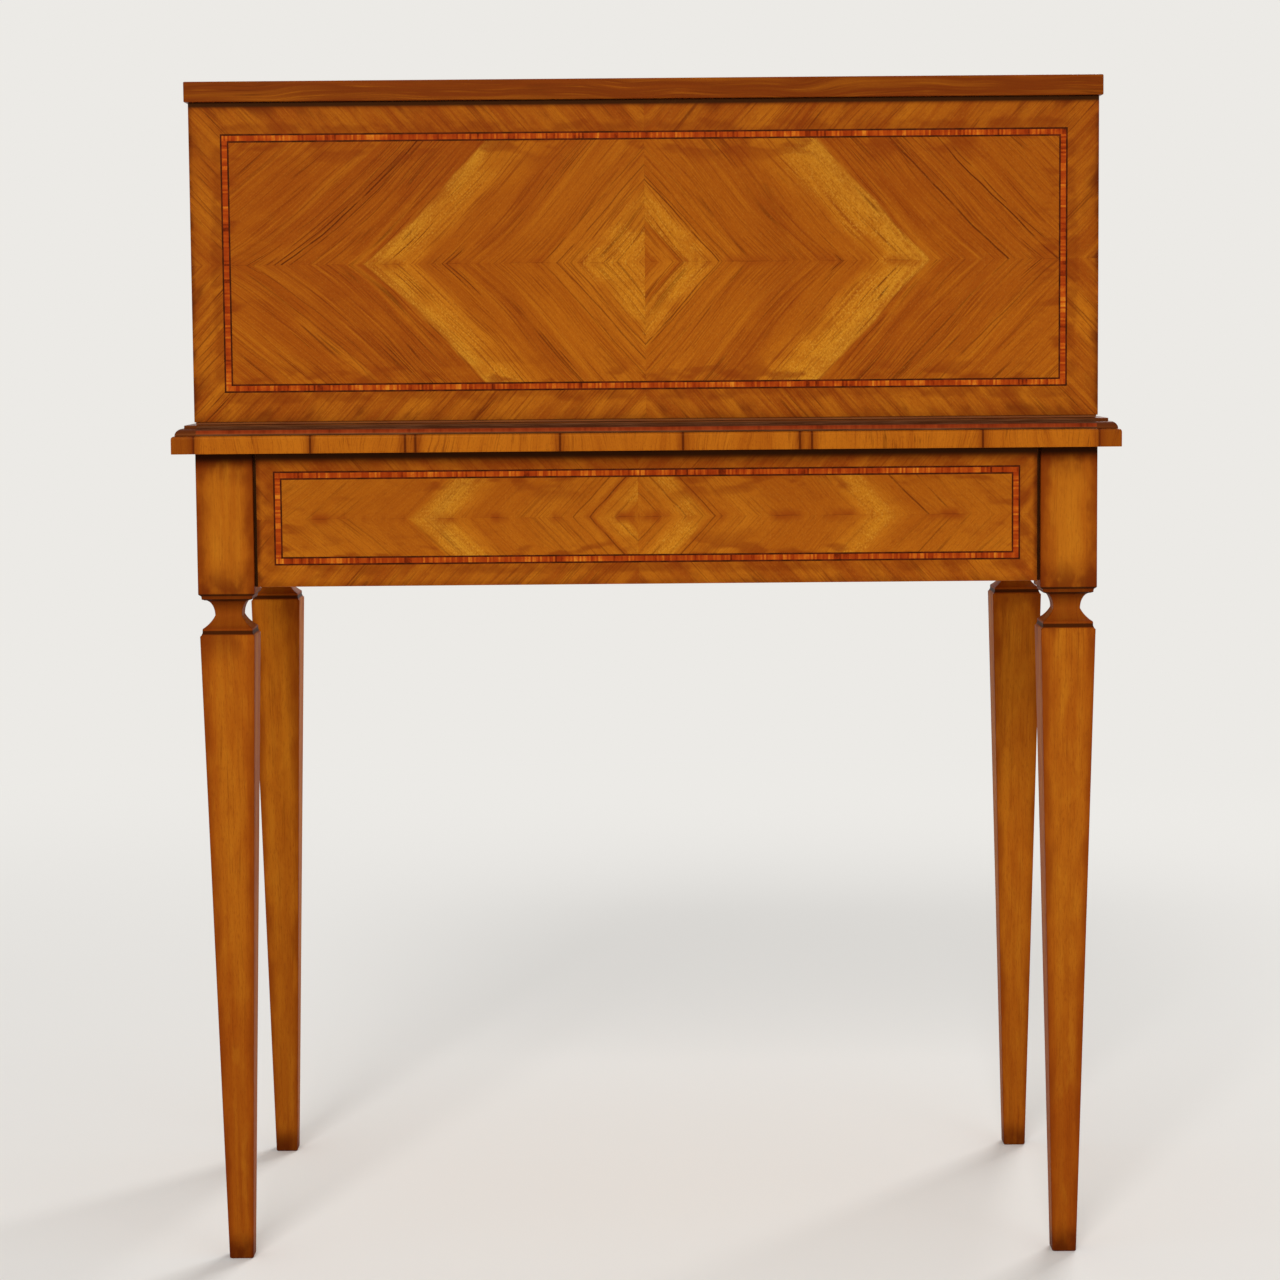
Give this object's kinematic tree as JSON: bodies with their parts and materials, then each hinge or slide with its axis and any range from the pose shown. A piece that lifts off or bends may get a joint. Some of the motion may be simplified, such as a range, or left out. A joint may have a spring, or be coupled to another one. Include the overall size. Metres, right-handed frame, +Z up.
{
  "type": "bonheur-du-jour writing desk",
  "caption": "Veneered walnut lady's writing desk: shallow upper case of cupboards and drawers on a table with square tapered legs, frieze drawer and leather writing slide.",
  "frame": {"origin": "on the floor, under the middle of the desk top", "axes": "+Z up, +Y towards the writer, so -Y faces the finished back; +X is to the right of someone who looks at the finished back"},
  "size_m": [0.85, 0.49, 1.075],
  "materials": {
    "veneer": "quarter-matched walnut veneer with inlaid banding, shellac polished, satin gloss",
    "walnut": "solid walnut, honey coloured, shellac polished, satin gloss",
    "edging": "dark red-brown walnut edging, polished, satin gloss",
    "lining": "pale drawer lining, waxed, matt",
    "carcase": "plain carcase softwood, matt",
    "leather": "green writing leather with a tooled gilt line, semi-matt",
    "brass": "turned and lacquered brass"
  },
  "bodies": {
    "desk": {"leg_back_left": "walnut", "leg_back_right": "walnut", "leg_front_left": "walnut", "leg_front_right": "walnut", "back_apron": "veneer", "left_apron": "veneer", "right_apron": "veneer", "front_bottom_rail": "walnut", "front_slide_rail": "walnut", "drawer_runner_left": "carcase", "drawer_runner_right": "carcase", "slide_guide_left": "carcase", "slide_guide_right": "carcase", "desk_top": "veneer", "moulding_front": "edging", "moulding_left": "edging", "moulding_back": "edging", "moulding_right": "edging", "case_back_panel": "veneer", "case_left_side": "veneer", "case_right_side": "veneer", "case_bottom": "walnut", "case_top": "edging", "left_partition": "walnut", "right_partition": "walnut", "pigeonhole_shelf": "walnut", "left_cupboard_shelf": "lining", "right_cupboard_shelf": "lining", "small_drawer_divider": "walnut", "left_door_stop": "lining", "right_door_stop": "lining", "left_lower_hinge_case_leaf": "brass", "left_upper_hinge_case_leaf": "brass", "right_lower_hinge_case_leaf": "brass", "right_upper_hinge_case_leaf": "brass"},
    "frieze_drawer": {"frieze_drawer_front": "veneer", "frieze_drawer_left_side": "lining", "frieze_drawer_right_side": "lining", "frieze_drawer_back": "lining", "frieze_drawer_bottom": "lining", "frieze_drawer_left_knob": "brass", "frieze_drawer_right_knob": "brass"},
    "writing_slide": {"writing_slide_board": "walnut", "writing_slide_leather": "leather", "writing_slide_left_knob": "brass", "writing_slide_right_knob": "brass"},
    "left_door": {"left_door": "veneer", "left_lower_hinge_door_leaf": "brass", "left_upper_hinge_door_leaf": "brass", "left_door_knob": "brass"},
    "right_door": {"right_door": "veneer", "right_lower_hinge_door_leaf": "brass", "right_upper_hinge_door_leaf": "brass", "right_door_knob": "brass"},
    "left_small_drawer": {"left_small_drawer_front": "walnut", "left_small_drawer_box": "lining", "left_small_drawer_knob": "brass"},
    "right_small_drawer": {"right_small_drawer_front": "walnut", "right_small_drawer_box": "lining", "right_small_drawer_knob": "brass"}
  },
  "joints": [
    {"name": "frieze_drawer_slide", "type": "slide", "parent": "desk", "child": "frieze_drawer", "axis": [0, 1, 0], "range_m": [0, 0.29]},
    {"name": "writing_slide_slide", "type": "slide", "parent": "desk", "child": "writing_slide", "axis": [0, 1, 0], "range_m": [0, 0.24]},
    {"name": "left_door_hinge", "type": "hinge", "parent": "desk", "child": "left_door", "pos_m": [-0.3895, 0.0073, 0.92], "axis": [0, 0, 1], "range_deg": [0, 105]},
    {"name": "right_door_hinge", "type": "hinge", "parent": "desk", "child": "right_door", "pos_m": [0.3895, 0.0073, 0.92], "axis": [0, 0, -1], "range_deg": [0, 105]},
    {"name": "left_small_drawer_slide", "type": "slide", "parent": "desk", "child": "left_small_drawer", "axis": [0, 1, 0], "range_m": [0, 0.14]},
    {"name": "right_small_drawer_slide", "type": "slide", "parent": "desk", "child": "right_small_drawer", "axis": [0, 1, 0], "range_m": [0, 0.14]}
  ]
}
